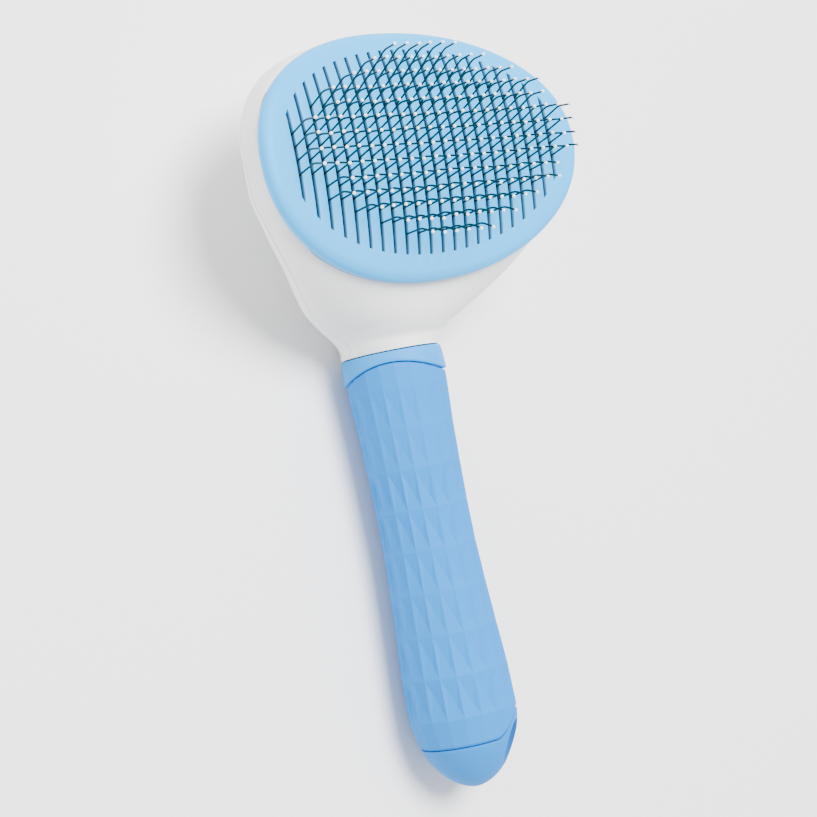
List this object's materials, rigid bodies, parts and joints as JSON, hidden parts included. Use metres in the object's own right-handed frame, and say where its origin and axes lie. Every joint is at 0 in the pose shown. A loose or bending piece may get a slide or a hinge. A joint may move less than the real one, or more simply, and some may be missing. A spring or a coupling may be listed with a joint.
{
  "type": "slicker brush",
  "caption": "Self-cleaning pet slicker brush: oval head with rows of bent wire pins standing through a slotted plate that a spring-back button pushes forward, on a round grip handle.",
  "frame": {"origin": "on the resting plane, under the middle of the brush's length and width, the brush lying on its back", "axes": "+X to the right seen from the pin side with the head up, +Y from the handle to the head, +Z the way the pins point"},
  "size_m": [0.0976, 0.1922, 0.057],
  "materials": {
    "white_plastic": "satin white ABS",
    "blue_plastic": "satin light-blue ABS",
    "cap_plastic": "satin mid-blue ABS",
    "grip_rubber": "soft faceted thermoplastic rubber",
    "inner_plastic": "moulded grey plastic",
    "pin_wire": "drawn steel wire",
    "screw_steel": "zinc-plated steel"
  },
  "bodies": {
    "brush": {"front_housing": "white_plastic", "rear_housing": "white_plastic", "pin_board": "inner_plastic", "pin_row_01": "pin_wire", "pin_row_02": "pin_wire", "pin_row_03": "pin_wire", "pin_row_04": "pin_wire", "pin_row_05": "pin_wire", "pin_row_06": "pin_wire", "pin_row_07": "pin_wire", "pin_row_08": "pin_wire", "pin_row_09": "pin_wire", "pin_row_10": "pin_wire", "pin_row_11": "pin_wire", "pin_row_12": "pin_wire", "pin_row_13": "pin_wire", "pin_row_14": "pin_wire", "pin_row_15": "pin_wire", "pin_row_16": "pin_wire", "pin_row_17": "pin_wire", "pin_row_18": "pin_wire", "pin_row_19": "pin_wire", "pin_row_20": "pin_wire", "pin_row_21": "pin_wire", "pin_row_22": "pin_wire", "board_screw_1": "screw_steel", "board_screw_2": "screw_steel", "board_screw_3": "screw_steel", "board_screw_4": "screw_steel", "shell_screw_1": "screw_steel", "shell_screw_2": "screw_steel", "core_screw_1": "screw_steel", "core_screw_2": "screw_steel", "return_spring_1": "screw_steel", "return_spring_2": "screw_steel", "return_spring_3": "screw_steel", "return_spring_4": "screw_steel", "collar_ring": "blue_plastic", "handle_grip": "grip_rubber", "handle_core": "inner_plastic", "end_cap": "cap_plastic"},
    "ejector": {"cleaning_plate": "blue_plastic", "ejector_carriage": "inner_plastic", "push_button": "blue_plastic", "button_screw": "screw_steel"}
  },
  "joints": [
    {"name": "button_press", "type": "slide", "parent": "brush", "child": "ejector", "axis": [0, 0, 1], "range_m": [0, 0.007], "stiffness_N_per_m": 1200, "springref_m": -0.003, "deforming": ["return_spring_1", "return_spring_2", "return_spring_3", "return_spring_4"]}
  ]
}
